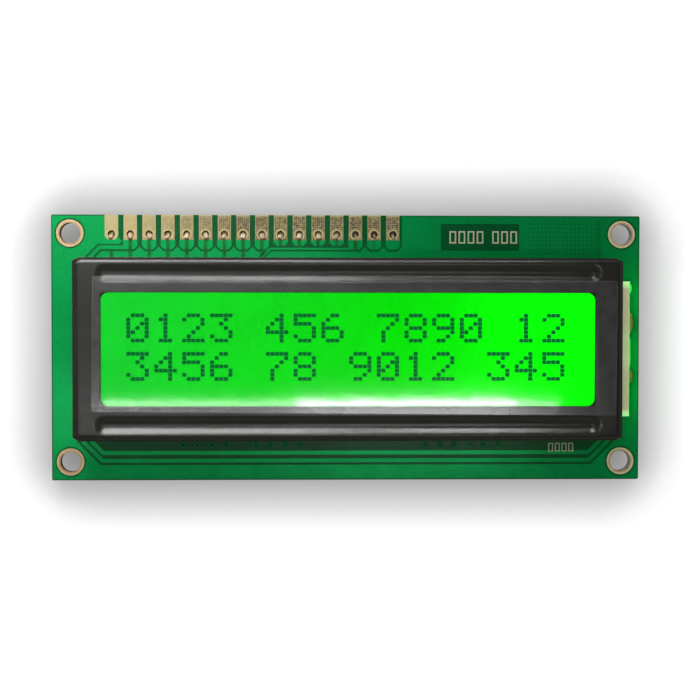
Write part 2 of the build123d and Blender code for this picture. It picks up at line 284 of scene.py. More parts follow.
def solder_mask(name, deep, bright, shine=0.0, streaks=False, raw_edge=False):
    """Glossy green lacquer, a little uneven. Copper shines through it. It may have darker streaks below the
    header holes or show the laminate's raw edges."""
    finish = Finish(name)
    cloud = finish.ramp(finish.noise(7 * MM), (0.3, deep), (0.7, bright))
    grain = finish.ramp(finish.noise(0.25 * MM, 2.0), (0.35, 0.88), (0.65, 1.08))
    colour = finish.blend(1.0, cloud, grain, "MULTIPLY")
    if streaks:
        across, _, _ = finish.from_holes()
        x, _, _ = finish.axes()
        streak = finish.between(across, 0.42, 0.08)
        streak = finish.maths("MULTIPLY", streak, finish.between(x, 5 * MM, 2 * MM))
        streak = finish.maths("MULTIPLY", streak, finish.ramp(finish.noise(0.9 * MM), (0.3, 0.5), (0.7, 0.9)))
        colour = finish.blend(streak, colour, (0.012, 0.08, 0.018))
    if raw_edge:
        raw = finish.ramp(finish.noise(0.3 * MM), (0.3, (0.05, 0.11, 0.03)), (0.7, (0.10, 0.17, 0.055)))
        colour = finish.blend(finish.level(), raw, colour)
    finish.set(base_color=colour, specular_ior_level=0.12, metallic=shine)
    finish.set(roughness=finish.ramp(finish.noise(1.5 * MM), (0.3, 0.15), (0.7, 0.21)))
    return finish.bump(finish.noise(0.5 * MM), 0.004 * MM).material


def pad_gold():
    """Gold flash on the header pads, with a clean ring round each hole. Along the row they turn browner and
    mottled: partly their own mottle, partly painted shade, darker away from the light at the left end. Their
    hole walls are painted dark brown: painted shade inside the holes."""
    finish = Finish("pad_gold")
    across, _, away = finish.from_holes()
    x, y, _ = finish.axes()
    # Browner along the row: partly the pads' own mottle, partly painted shade, darker away from the light at
    # the left end.
    row_shade_and_wear = finish.ramp(finish.maths("DIVIDE", finish.maths("SUBTRACT", x, pad_x[0]), pad_x[8] - pad_x[0]),
                       (0.0, 0.12), (0.3, 0.36), (0.5, 0.62), (0.9, 0.95))
    crossed = finish.maths("ADD", finish.stripes(0.26 * MM, "X"), finish.stripes(0.28 * MM, "Y"))
    fleck = finish.maths("ADD", finish.maths("MULTIPLY", crossed, 0.16), finish.noise(0.28 * MM, 3.0))
    mottle = finish.ramp(fleck, (0.52, 0.25), (0.72, 1.0))
    share = finish.maths("MULTIPLY", row_shade_and_wear, mottle)
    share = finish.maths("MULTIPLY", share, finish.between(away, 0.62, 0.86))
    sides = finish.ramp(finish.between(across, 0.68, 0.84), (0.0, 1.0), (1.0, 0.55))
    share = finish.maths("MULTIPLY", share, sides)
    share = finish.maths("MULTIPLY", share, finish.between(y, 17.95 * MM, 17.65 * MM))
    colour = finish.blend(share, (0.56, 0.46, 0.205), (0.085, 0.066, 0.036))
    # Upright faces, mostly the hole walls, are painted dark brown: painted shade inside the holes.
    colour = finish.blend(finish.level(), (0.13, 0.07, 0.03), colour)
    finish.set(base_color=colour, metallic=0.25, roughness=finish.ramp(share, (0.0, 0.34), (1.0, 0.55)))
    return finish.bump(finish.noise(0.10 * MM, 2.0), 0.008 * MM).material


def ring_gold():
    """Gold flash on the mounting rings, browner towards the holes. On the right rings the face and the hole
    wall are painted paler: painted light, as if lit from the left.
    """
    finish = Finish("ring_gold")
    x, y, _ = finish.axes()
    # Painted light: the right rings' face and wall are painted paler, as if lit from the left.
    right = finish.between(x, -10 * MM, 10 * MM)
    across = finish.maths("SUBTRACT", finish.maths("ABSOLUTE", x), abs(ring_places[0].x))
    along = finish.maths("SUBTRACT", finish.maths("ABSOLUTE", y), abs(ring_places[0].y))
    away = finish.straight(across, along)
    inner = finish.between(away, ring_radius - 0.16 * MM, ring_radius - 0.34 * MM)
    spots, fine_spots = finish.noise(0.5 * MM), finish.noise(0.4 * MM)
    face = finish.blend(right, finish.ramp(spots, (0.3, (0.60, 0.44, 0.21)), (0.7, (0.72, 0.54, 0.28))),
                        finish.ramp(spots, (0.3, (0.86, 0.70, 0.40)), (0.7, (0.97, 0.82, 0.50))))
    face = finish.blend(finish.maths("MULTIPLY", inner, 0.6), face, (0.42, 0.24, 0.11))
    wall = finish.blend(right, finish.ramp(fine_spots, (0.3, (0.30, 0.19, 0.11)), (0.7, (0.48, 0.33, 0.20))),
                        (0.90, 0.85, 0.76))
    finish.set(base_color=finish.blend(finish.level(), wall, face), metallic=0.25, roughness=0.4)
    return finish.bump(finish.noise(0.12 * MM, 2.0), 0.01 * MM).material


def solder(name, bright, dark, metallic=0.5, flux=False):
    """Shiny solder with dull patches. In the header holes flux has browned its lower side."""
    finish = Finish(name)
    patch = finish.ramp(finish.noise(0.5 * MM), (0.35, bright), (0.65, dark))
    if flux:
        _, along, _ = finish.from_holes()
        ragged = finish.maths("ADD", along, finish.maths("MULTIPLY", finish.noise(0.3 * MM), 0.3))
        patch = finish.blend(finish.between(ragged, -0.28, -0.48), patch, (0.22, 0.12, 0.05))
    finish.set(base_color=patch, metallic=metallic)
    finish.set(roughness=finish.ramp(finish.noise(0.3 * MM), (0.3, 0.24), (0.7, 0.42)))
    return finish.bump(finish.noise(0.25 * MM), 0.015 * MM).material


def black_paint():
    """Satin black paint on steel, with fine grain and a few pale specks of dust."""
    finish = Finish("satin_black_paint")
    base = finish.ramp(finish.noise(5 * MM), (0.3, (0.0170, 0.0175, 0.0140)), (0.7, (0.0220, 0.0225, 0.0185)))
    grain = finish.ramp(finish.noise(0.12 * MM, 2.0), (0.3, 0.85), (0.7, 1.15))
    colour = finish.blend(1.0, base, grain, "MULTIPLY")
    colour = finish.blend(finish.specks(1.4 * MM, 0.36), colour, (0.06, 0.06, 0.055))
    finish.set(base_color=colour, roughness=finish.ramp(finish.noise(0.8 * MM), (0.3, 0.18), (0.7, 0.23)))
    return finish.bump(finish.noise(0.10 * MM, 2.0), 0.002 * MM, edge=0.62 * MM).material


def clear_film():
    """Clear glossy film with dust on it. Where it lies on the bezel it carries a painted grey sheen, which
    stands in for its reflection, and its cut edges carry a painted highlight.
    """
    finish = Finish("clear_film")
    across, along, _ = finish.axes(finish.turned(film_centre, FILM_TURN))
    to_end = finish.maths("SUBTRACT", FILM_LENGTH / 2, finish.maths("ABSOLUTE", across))
    to_side = finish.maths("SUBTRACT", FILM_WIDTH / 2, finish.maths("ABSOLUTE", along))
    # Painted highlight along the film's cut edges.
    edge_highlight = finish.between(finish.maths("MINIMUM", to_end, to_side), 0.13 * MM, 0.03 * MM)
    x, y, _ = finish.axes()
    past_end = finish.maths("SUBTRACT", finish.maths("ABSOLUTE", x), WINDOW_HALF.x)
    past_side = finish.maths("SUBTRACT", finish.maths("ABSOLUTE", y), WINDOW_HALF.y)
    outside = finish.between(finish.maths("MAXIMUM", past_end, past_side), 0.0, 0.12 * MM)
    # A painted grey sheen where the film lies on the bezel, standing in for its reflection, with real dust
    # specks on it.
    cloud = finish.ramp(finish.noise(1.6 * MM, 4.0), (0.3, (0.12, 0.125, 0.125)), (0.7, (0.26, 0.265, 0.26)))
    sheen_and_dust = finish.blend(outside, (0.004, 0.005, 0.004), cloud)
    sheen_and_dust = finish.blend(finish.specks(1.1 * MM, 0.45), sheen_and_dust, (0.60, 0.60, 0.58))
    sheen_and_dust = finish.blend(edge_highlight, sheen_and_dust, (0.34, 0.35, 0.34))
    finish.set(base_color=sheen_and_dust, alpha=0.13, ior=2.4, roughness=finish.ramp(outside, (0.0, 0.05), (1.0, 0.12)))
    return finish.bump(finish.noise(3.0 * MM, 2.0), 0.004 * MM).material


def polarizer():
    """Polarizing film, grey-green and glossy, with a faint grain."""
    finish = Finish("polarizing_film")
    tint = finish.ramp(finish.noise(1.2 * MM), (0.3, (0.0015, 0.004, 0.0015)), (0.7, (0.003, 0.007, 0.003)))
    finish.set(base_color=tint, alpha=0.30, ior=3.0, roughness=0.05)
    return finish.bump(finish.noise(4.0 * MM, 2.0), 0.004 * MM).material


def sheet_glass():
    """Clear glass, faintly green."""
    finish = Finish("display_glass")
    tint = finish.ramp(finish.noise(8 * MM), (0.3, (0.010, 0.022, 0.012)), (0.7, (0.014, 0.028, 0.015)))
    finish.set(base_color=tint, alpha=0.05, roughness=0.03)
    return finish.bump(finish.noise(5 * MM), 0.002 * MM).material


def lit_liquid():
    """The display's ground, lit green from behind and a little brighter towards its right end."""
    finish = Finish("lit_display_ground")
    x, _, _ = finish.axes()
    along = finish.maths("DIVIDE", finish.maths("SUBTRACT", x, liquid_low.x), liquid_high.x - liquid_low.x)
    glow = finish.ramp(along, (0.0, (0.006, 0.50, 0.024)), (0.25, (0.003, 0.53, 0.010)),
                       (0.6, (0.0, 0.60, 0.0)), (0.85, (0.0, 0.85, 0.0)), (1.0, (0.0, 1.0, 0.0)))
    cloud = finish.ramp(finish.noise(9 * MM, 2.0), (0.3, 0.94), (0.7, 1.05))
    finish.set(base_color=(0.004, 0.03, 0.008), roughness=0.5, emission_strength=3.1)
    finish.set(emission_color=finish.blend(1.0, glow, cloud, "MULTIPLY"))
    return finish.material


def dark_dots():
    """Switched-on display dots: dark green against the light."""
    finish = Finish("display_dots")
    tone = finish.ramp(finish.noise(0.3 * MM), (0.3, (0.0, 0.24, 0.045)), (0.7, (0.0, 0.34, 0.070)))
    finish.set(base_color=(0.002, 0.01, 0.005), roughness=0.6, emission_color=tone, emission_strength=1.0)
    return finish.material


def moulded(name, pale, dark, roughness=0.5):
    """Moulded plastic, ceramic or resin, slightly mottled."""
    finish = Finish(name)
    finish.set(base_color=finish.ramp(finish.noise(1.4 * MM, 4.0), (0.3, dark), (0.7, pale)))
    smoother, rougher = roughness - 0.08, roughness + 0.08
    finish.set(roughness=finish.ramp(finish.noise(0.6 * MM), (0.3, smoother), (0.7, rougher)))
    return finish.bump(finish.noise(0.3 * MM), 0.008 * MM).material


def glowing(name, base, glow, strength):
    """Milky resin with green light in it."""
    finish = Finish(name)
    dim = tuple(0.65 * part for part in glow)
    finish.set(base_color=base, roughness=0.35, emission_strength=strength)
    finish.set(emission_color=finish.ramp(finish.noise(1.0 * MM), (0.3, dim), (0.7, glow)))
    return finish.bump(finish.noise(0.3 * MM), 0.008 * MM).material


def bridge_plastic():
    """Cream plastic that light shines through at the two corners of its end."""
    finish = Finish("cream_plastic")
    _, y, _ = finish.axes()
    cream = finish.ramp(finish.noise(1.4 * MM, 4.0), (0.3, (0.78, 0.68, 0.44)), (0.7, (0.90, 0.80, 0.54)))
    lit = finish.between(finish.maths("ABSOLUTE", y), 7.9 * MM, 8.7 * MM)
    centre = finish.maths("MULTIPLY", finish.between(finish.maths("ABSOLUTE", y), 4.0 * MM, 1.0 * MM), 0.22)
    finish.set(base_color=cream, roughness=0.5, emission_strength=1.0)
    finish.set(emission_color=finish.blend(finish.maths("MAXIMUM", lit, centre), (0.03, 0.07, 0.01),
                                           (0.10, 0.55, 0.12)))
    return finish.bump(finish.noise(0.3 * MM), 0.01 * MM).material


def layered_rubber():
    """Contact strip: fine dark and pale layers along its length."""
    finish = Finish("layered_rubber")
    tone = finish.ramp(finish.stripes(0.18 * MM, "X"), (0.3, (0.05, 0.04, 0.04)), (0.7, (0.42, 0.30, 0.30)))
    finish.set(base_color=tone, roughness=0.7)
    return finish.bump(finish.noise(0.2 * MM), 0.01 * MM).material


def cream_ink():
    """Cream printing ink, a little worn."""
    finish = Finish("cream_ink")
    tone = finish.ramp(finish.noise(0.2 * MM), (0.3, (0.36, 0.42, 0.24)), (0.7, (0.60, 0.64, 0.42)))
    finish.set(base_color=tone, roughness=0.6)
    return finish.bump(finish.noise(0.1 * MM), 0.004 * MM).material


# Modelling helpers

def nothing_selected():
    if bpy.context.mode != "OBJECT":
        bpy.ops.object.mode_set(mode="OBJECT")
    bpy.ops.object.select_all(action="DESELECT")


def chosen(piece):
    """Selects one piece alone and makes it active."""
    nothing_selected()
    piece.select_set(True)
    bpy.context.view_layer.objects.active = piece
    return piece


def opened(name):
    """Names the primitive just added and opens it for editing."""
    piece = bpy.context.active_object
    piece.name = name
    piece.data.name = name
    bpy.ops.object.transform_apply(location=True, rotation=True, scale=True)
    bpy.ops.object.mode_set(mode="EDIT")
    bpy.ops.mesh.select_all(action="SELECT")
    return piece


def closed(piece):
    """Turns a finished mesh's faces outward and leaves edit mode."""
    bpy.ops.mesh.select_all(action="SELECT")
    bpy.ops.mesh.normals_make_consistent(inside=False)
    bpy.ops.object.mode_set(mode="OBJECT")
    return piece


def pick(piece, kind, test):
    """Selects the edges or verts of the piece being edited that pass the test."""
    bpy.ops.mesh.select_mode(type={"edges": "EDGE", "verts": "VERT"}[kind])
    bpy.ops.mesh.select_all(action="DESELECT")
    mesh = bmesh.from_edit_mesh(piece.data)
    for item in getattr(mesh, kind):
        if test(item):
            item.select_set(True)
    mesh.select_flush_mode()
    bmesh.update_edit_mesh(piece.data)


def modified(piece, kind, **values):
    """Adds a modifier to a piece and applies it."""
    chosen(piece)
    modifier = piece.modifiers.new(kind.lower(), kind)
    for key, value in values.items():
        setattr(modifier, key, value)
    bpy.ops.object.modifier_apply(modifier=modifier.name)
    return piece


def shaded(piece, angle=40):
    chosen(piece)
    bpy.ops.object.shade_smooth_by_angle(angle=math.radians(angle))
    return piece


def smoothed(piece, levels, angle=60):
    """Subdivides a piece and shades it smooth."""
    return shaded(modified(piece, "SUBSURF", levels=levels, render_levels=levels), angle)


def drawn(name, radius, sides, base, steps, stretch=(1, 1)):
    """A round piece drawn out of a disc. Each step moves its end face by x, y and z and scales it."""
    nothing_selected()
    bpy.ops.mesh.primitive_circle_add(vertices=sides, radius=radius, fill_type="NGON", location=base)
    piece = opened(name)
    bpy.ops.transform.resize(value=(*stretch, 1))
    for x, y, z, scale in steps:
        bpy.ops.mesh.extrude_region_move(TRANSFORM_OT_translate={"value": (x, y, z)})
        bpy.ops.transform.resize(value=(scale, scale, 1))
    return closed(piece)


def boxed(name, low, high, bevel, segments=2):
    """A block with rounded edges."""
    nothing_selected()
    low, high = Vector(low), Vector(high)
    bpy.ops.mesh.primitive_cube_add(size=1, location=(low + high) / 2)
    bpy.context.active_object.scale = high - low
    piece = opened(name)
    bpy.ops.mesh.bevel(offset=bevel, segments=segments, affect="EDGES")
    return closed(piece)


def plate(name, outline, holes, low, high):
    """A thin flat piece cut to an outline, with holes in it."""
    curve = bpy.data.curves.new(name, "CURVE")
    curve.dimensions = "2D"
    curve.fill_mode = "BOTH"
    curve.extrude = (high - low) / 2
    for loop in (outline, *holes):
        spline = curve.splines.new("POLY")
        spline.points.add(len(loop) - 1)
        for point, (x, y) in zip(spline.points, loop):
            point.co = (x, y, 0, 1)
        spline.use_cyclic_u = True
    piece = bpy.data.objects.new(name, curve)
    bpy.context.collection.objects.link(piece)
    chosen(piece)
    bpy.ops.object.convert(target="MESH")
    piece = bpy.context.active_object
    piece.location.z = (low + high) / 2
    opened(name)
    bpy.ops.mesh.remove_doubles(threshold=0.0005 * MM)
    return closed(piece)


def copper(name, outline, holes=(), share=1.0):
    """A flat of copper on the display side of the board."""
    return plate(name, outline, holes, board_top, board_top + share * COPPER)


def ribbon(points, width):
    """The outline of a track of even width along a line of points."""
    points = [Vector(point) for point in points]
    left, right = [], []
    for i, point in enumerate(points):
        before = (point - points[i - 1]).normalized() if i else None
        after = (points[i + 1] - point).normalized() if i + 1 < len(points) else None
        heading = ((before or after) + (after or before)).normalized()
        side = Vector((-heading.y, heading.x))
        square = Vector((-(after or before).y, (after or before).x))
        reach = side * width / 2 / side.dot(square)
        left.append(tuple(point + reach))
        right.append(tuple(point - reach))
    return left + right[::-1]


def rectangle(low, high):
    return [(low[0], low[1]), (high[0], low[1]), (high[0], high[1]), (low[0], high[1])]


def circle(x, y, radius, count=32):
    turns = [2 * math.pi * i / count for i in range(count)]
    return [(x + radius * math.cos(turn), y + radius * math.sin(turn)) for turn in turns]


def copied(piece, name, move):
    """Another piece of the same shape, with a mesh of its own."""
    twin = piece.copy()
    twin.data = piece.data.copy()
    twin.name = name
    twin.data.name = name
    bpy.context.collection.objects.link(twin)
    twin.data.transform(Matrix.Translation(move))
    return twin


def joined(name, pieces):
    """Several pieces made one."""
    nothing_selected()
    for piece in pieces:
        piece.select_set(True)
    bpy.context.view_layer.objects.active = pieces[0]
    bpy.ops.object.join()
    pieces[0].name = name
    pieces[0].data.name = name
    return pieces[0]


def discarded(piece):
    bpy.data.objects.remove(piece, do_unlink=True)


def fitted(piece, finish, slot, *nodes):
    """Gives a piece its finish and fixes it to the module, in place of CAD nodes if it stands for any."""
    piece.data.materials.clear()
    piece.data.materials.append(finish)
    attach(piece, "root")
    if nodes:
        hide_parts(*nodes)
    return piece


def painted(nodes, finish):
    """Gives CAD nodes a finish."""
    for node in nodes:
        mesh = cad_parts[node].data
        mesh.materials.clear()
        mesh.materials.append(finish)


# Board copper on the display side

def inside_board():
    """The left, right, lower and upper edges of copper that keeps clear of the board's edges."""
    return (board_low.x + BOARD_EDGE, board_high.x - BOARD_EDGE,
            board_low.y + BOARD_EDGE, board_high.y - BOARD_EDGE)


def skirt_end(number):
    """Where a pad's masked end stops. It is shorter where a track passes."""
    return SHORT_SKIRT_END if number in ROUTED_PADS else SKIRT_END


def below_pad(number):
    """The pour's edge below a pad, from right to left: a peak, then a flat with a slope on each side."""
    x = pad_x[number - 1]
    half_flat = pad_width / 2 - SKIRT_CHAMFER + 0.1 * MM
    half_gap = pad_pitch / 2
    flat_y = SKIRT_END - SKIRT_CLEARANCE
    return [(x + half_gap, flat_y + half_gap - half_flat), (x + half_flat, flat_y), (x - half_flat, flat_y)]


def ground_pour():
    """Copper round the display. It carries the first pad and is cut round the others, the rings and the
    tracks."""
    left, right, foot, head = inside_board()
    inner_left, inner_right = bezel_low.x + BEZEL_OVERLAP, bezel_high.x - BEZEL_OVERLAP
    first_gap_foot, first_gap_turn, first_gap_y = -36.0 * MM, -33.75 * MM, 14.05 * MM
    first_right = pad_x[0] + pad_width / 2
    first_step, corner = first_gap_y + 0.4 * MM, 0.45 * MM
    last_right = pad_x[-1] + pad_width / 2 + PAD_CLEARANCE
    routed_gap_turn, routed_gap_foot = -10.3 * MM, -11.6 * MM
    strip_half, strip_end = 9.2 * MM, 38.75 * MM
    slope_x, outer_gap_end = 36.65 * MM, 33.45 * MM
    slope_y = OUTER_GAP_Y + slope_x - outer_gap_end
    outline = [
        (inner_left, UNDER_BEZEL_Y), (first_gap_foot, UNDER_BEZEL_Y), (first_gap_turn, first_gap_y),
        (first_right + 0.05 * MM, first_gap_y), (first_right + corner, first_step),
        (first_right, first_step + corner), (first_right, head),
        (left, head), (left, foot), (right, foot), (right, head),
        (last_right, head), (last_right, SKIRT_END + SKIRT_CHAMFER)]
    outline += below_pad(16)[1:] + below_pad(15) + below_pad(14)[:2]
    outline += [
        (pad_x[13], POUR_EDGE_Y), (routed_gap_turn, POUR_EDGE_Y), (routed_gap_foot, UNDER_BEZEL_Y),
        (inner_right, UNDER_BEZEL_Y), (inner_right, strip_half), (strip_end, strip_half),
        (strip_end, -strip_half), (inner_right, -strip_half), (inner_right, -UNDER_BEZEL_Y),
        (slope_x, -UNDER_BEZEL_Y), (slope_x, slope_y), (outer_gap_end, OUTER_GAP_Y),
        (-outer_gap_end, OUTER_GAP_Y), (-slope_x, slope_y), (-slope_x, -UNDER_BEZEL_Y),
        (inner_left, -UNDER_BEZEL_Y)]
    holes = [circle(place.x, place.y, ring_radius + RING_CLEARANCE) for place in ring_places]
    holes.append(circle(pad_x[0], hole_y, HOLE_RADIUS + 0.15 * MM))
    holes.append(rectangle(LABEL_LOW, LABEL_HIGH))
    holes.append(rectangle(HATCH_LOW, HATCH_HIGH))
    return copper("ground_pour", outline, holes)


def pad_side_pour():
    """The island of copper below the first nine pads."""
    left, left_foot, right, right_foot = -33.25 * MM, -34.53 * MM, -11.2 * MM, -12.5 * MM
    outline = [(right_foot, UNDER_BEZEL_Y), (right, POUR_EDGE_Y)]
    for number in range(9, 1, -1):
        outline += below_pad(number)
    outline += [(left, POUR_EDGE_Y), (left_foot, UNDER_BEZEL_Y)]
    return copper("pad_side_pour", outline)


def pad_skirts():
    """The masked end of each pad below its bare part."""
    made = []
    for number in range(2, 17):
        x, end, half = pad_x[number - 1], skirt_end(number), pad_width / 2
        cut = SKIRT_CHAMFER
        outline = [(x - half, pad_foot), (x - half, end + cut), (x - half + cut, end), (x + half - cut, end),
                   (x + half, end + cut), (x + half, pad_foot)]
        made.append(copper("pad_skirt", outline, share=0.9))
    return joined("pad_skirts", made)


def tracks():
    """The tracks that leave the header and the two that run below the display."""
    share, turn_y = 0.8, -12.8 * MM
    first_foot, first_turn, first_end = -35.3 * MM, -33.5 * MM, pad_x[1] - 0.4 * MM
    routed_foot, routed_turn, routed_end = -12.05 * MM, -10.4 * MM, pad_x[13] - 0.3 * MM
    first = [(first_foot, UNDER_BEZEL_Y), (first_turn, FIRST_TRACK_Y), (first_end, FIRST_TRACK_Y)]
    routed = [(routed_foot, UNDER_BEZEL_Y), (routed_turn, ROUTED_TRACK_Y), (routed_end, ROUTED_TRACK_Y)]
    made = [copper("first_track", ribbon(first, FIRST_TRACK_WIDTH), share=share),
            copper("routed_track", ribbon(routed, ROUTED_TRACK_WIDTH), share=share)]
    for y, end_x in ((INNER_TRACK_Y, INNER_TRACK_END), (OUTER_TRACK_Y, OUTER_TRACK_END)):
        half = [(-end_x, -UNDER_BEZEL_Y), (-end_x, turn_y), (-end_x + turn_y - y, y)]
        line = half + [(-px, py) for px, py in reversed(half)]
        made.append(copper("lower_track", ribbon(line, TRACK_WIDTH), share=share))
    return joined("board_tracks", made)


def hatched_copper():
    """Crossing lines of copper in the upper right corner of the board."""
    line, pitch, edge = 0.40 * MM, 0.57 * MM, 0.01 * MM
    top, crossing_top = board_top + COPPER, board_top + 0.9 * COPPER
    made = []
    for i in range(int((HATCH_HIGH.x - HATCH_LOW.x) / pitch) + 1):
        x = HATCH_LOW.x + i * pitch
        low, high = (x, HATCH_LOW.y, board_top), (x + line, HATCH_HIGH.y, top)
        made.append(boxed("hatch", low, high, edge, 1))
    for i in range(int((HATCH_HIGH.y - HATCH_LOW.y) / pitch) + 1):
        y = HATCH_LOW.y + i * pitch
        low, high = (HATCH_LOW.x, y, board_top), (HATCH_HIGH.x, y + line, crossing_top)
        made.append(boxed("hatch", low, high, edge, 1))
    return joined("hatched_copper", made)


def vias():
    """The row of filled through-holes below the display: their rings and their dark middles."""
    radius, middle_radius = 0.42 * MM, 0.2 * MM
    rise, well, proud = 0.045 * MM, 0.03 * MM, 0.003 * MM
    steps = [(0, 0, rise, 0.9), (0, 0, 0, 0.6), (0, 0, -well, 0.85)]
    ring = shaded(drawn("via", radius, 20, (0, 0, board_top), steps), 50)
    plug = drawn("via_middle", middle_radius, 16, (0, 0, board_top), [(0, 0, rise - well + proud, 0.9)])
    rings, plugs = [], []
    for start, count, pitch in VIA_ROWS:
        for i in range(count):
            place = ((start + i * pitch) * MM, VIA_Y, 0)
            rings.append(copied(ring, "via", place))
            plugs.append(copied(plug, "via_middle", place))
    discarded(ring)
    discarded(plug)
    return joined("board_vias", rings), joined("via_middles", plugs)


def label_frame():
    """The faint step round the dark label field."""
    line = Vector((0.12, 0.12)) * MM
    outer, inner = rectangle(LABEL_LOW - line, LABEL_HIGH + line), rectangle(LABEL_LOW, LABEL_HIGH)
    return plate("label_frame", outer, [inner], board_top, board_top + 1.3 * COPPER)


def printed_boxes(name, centre, places, width, tall, line):
    """A row of bare printed boxes. Its places count in box pitches from the centre."""
    pitch, ink = 1.35 * width, 0.015 * MM
    foot = board_top + COPPER
    made = []
    for place in places:
        x, y = centre[0] + place * pitch - width / 2, centre[1] - tall / 2
        outer = rectangle((x, y), (x + width, y + tall))
        inner = rectangle((x + line, y + line), (x + width - line, y + tall - line))
        made.append(plate("printed_box", outer, [inner], foot, foot + ink))
    return joined(name, made)


# Header holes

def solder_bead(name, size, lean, seed):
    """Solder that fills a header hole from below and stands out of its lower side, a little uneven."""
    wide, foot, smooth_height = 0.97 * HOLE_RADIUS, board_top - 0.85 * MM, board_top - 0.2 * MM
    steps = [(0, 0, 0.22 * MM, 1.0), (0, -0.09 * MM, 0.20 * MM, 0.80 * size),
             (lean * 0.02 * MM, -0.10 * MM, 0.30 * MM, 1.0), (lean * 0.05 * MM, -0.14 * MM, 0.20 * MM, 1.0),
             (lean * 0.03 * MM, -0.10 * MM, 0.10 * MM, 0.92), (0, -0.03 * MM, 0.08 * MM, 0.72),
             (0, 0, 0.03 * MM, 0.5)]
    piece = drawn(name, wide, 12, (0, hole_y, foot), steps)
    bpy.ops.object.mode_set(mode="EDIT")
    pick(piece, "verts", lambda vert: vert.co.z > smooth_height)
    bpy.ops.transform.vertex_random(offset=0.045 * MM, uniform=1.0, seed=seed)
    return smoothed(closed(piece), 2)


# Display

def dot_shape():
    """One dot of a character: a thin tile with rounded corners."""
    half_height, corner = 0.03 * MM, 0.07 * MM
    nothing_selected()
    bpy.ops.mesh.primitive_plane_add(size=1, location=(0, 0, liquid_high.z - half_height))
    bpy.context.active_object.scale = (DOT_WIDTH, DOT_HEIGHT, 1)
    piece = opened("dot")
    bpy.ops.mesh.extrude_region_move(TRANSFORM_OT_translate={"value": (0, 0, 2 * half_height)})
    pick(piece, "edges", lambda edge: abs(edge.verts[0].co.z - edge.verts[1].co.z) > half_height)
    bpy.ops.mesh.bevel(offset=corner, segments=2, affect="EDGES")
    return closed(piece)


def display_lines():
    """Rows of generic digits, each made of five by seven dots."""
    pattern = dot_shape()
    lines = []
    for number, words in enumerate(DISPLAY_LINES):
        dots = []
        for place, digit in enumerate(words):
            for row, bits in enumerate(DIGITS.get(digit, "").split()):
                for column, bit in enumerate(bits):
                    if bit == "1":
                        x = FIRST_DOT_X + place * CHARACTER_PITCH + column * DOT_PITCH_X
                        y = FIRST_DOT_Y - number * LINE_PITCH - row * DOT_PITCH_Y
                        dots.append(copied(pattern, "dot", (x, y, 0)))
        lines.append(joined(f"display_line_{number + 1}", dots))
    discarded(pattern)
    return lines


def film_sheet():
    """The protective film, laid a little askew, with rounded corners and faint ripples."""
    thickness = (film_high.z - film_low.z) / 2
    ripple_height, ripple_length = thickness / 4, 9 * MM
    nothing_selected()
    bpy.ops.mesh.primitive_grid_add(x_subdivisions=68, y_subdivisions=18, size=1, location=(0, 0, film_low.z))
    bpy.context.active_object.scale = (FILM_LENGTH, FILM_WIDTH, 1)
    piece = opened("film_sheet")
    corner = Vector((FILM_LENGTH / 2, FILM_WIDTH / 2))
    pick(piece, "verts", lambda vert: (Vector((abs(vert.co.x), abs(vert.co.y))) - corner).length < 0.01 * MM)
    bpy.ops.mesh.bevel(offset=FILM_CORNER, segments=4, affect="VERTICES")
    bpy.ops.mesh.select_all(action="SELECT")
    bpy.ops.transform.translate(value=(0, 0, 2.4 * ripple_height))
    closed(piece)
    ripple = bpy.data.textures.new("film_ripple", "CLOUDS")
    ripple.noise_scale = ripple_length
    modified(piece, "DISPLACE", texture=ripple, texture_coords="LOCAL", direction="Z",
             strength=ripple_height, mid_level=0.5)
    modified(piece, "SOLIDIFY", thickness=thickness, offset=1)
    piece.data.transform(Matrix.Translation((*film_centre, 0)) @ Matrix.Rotation(FILM_TURN, 4, "Z"))
    return shaded(piece, 30)


# Backlight end

def glow_bead():
    """Milky resin along the end of the backlight's bridge, with two lumps where more has run out."""
    tall, below_top, into, out = 1.3 * MM, 0.12 * MM, 0.1 * MM, 0.08 * MM
    low = Vector((bridge_high.x - into, bridge_low.y + 0.2 * MM, bridge_high.z - tall))
    high = Vector((bridge_high.x + out, bridge_high.y - 0.1 * MM, bridge_high.z - below_top))
    nothing_selected()
    bpy.ops.mesh.primitive_cube_add(size=1, location=(low + high) / 2)
    bpy.context.active_object.scale = high - low
    piece = opened("glow_bead")
    bpy.ops.mesh.subdivide(number_cuts=31)
    lumps = (8.1 * MM, 0.55 * MM, 0.24 * MM), (-0.5 * MM, 2.2 * MM, 0.13 * MM)
    for lump_y, half, reach in lumps:
        pick(piece, "verts", lambda vert: vert.co.x > bridge_high.x and abs(vert.co.y - lump_y) < half)
        bpy.ops.transform.translate(value=(reach, 0, 0), use_proportional_edit=True,
                                    proportional_edit_falloff="SMOOTH", proportional_size=0.4 * MM)
    pick(piece, "verts", lambda vert: vert.co.x > bridge_high.x)
    bpy.ops.transform.vertex_random(offset=0.03 * MM, uniform=1.0, seed=5)
    closed(piece)
    modified(piece, "LAPLACIANSMOOTH", iterations=2, lambda_factor=0.3)
    return shaded(piece, 60)


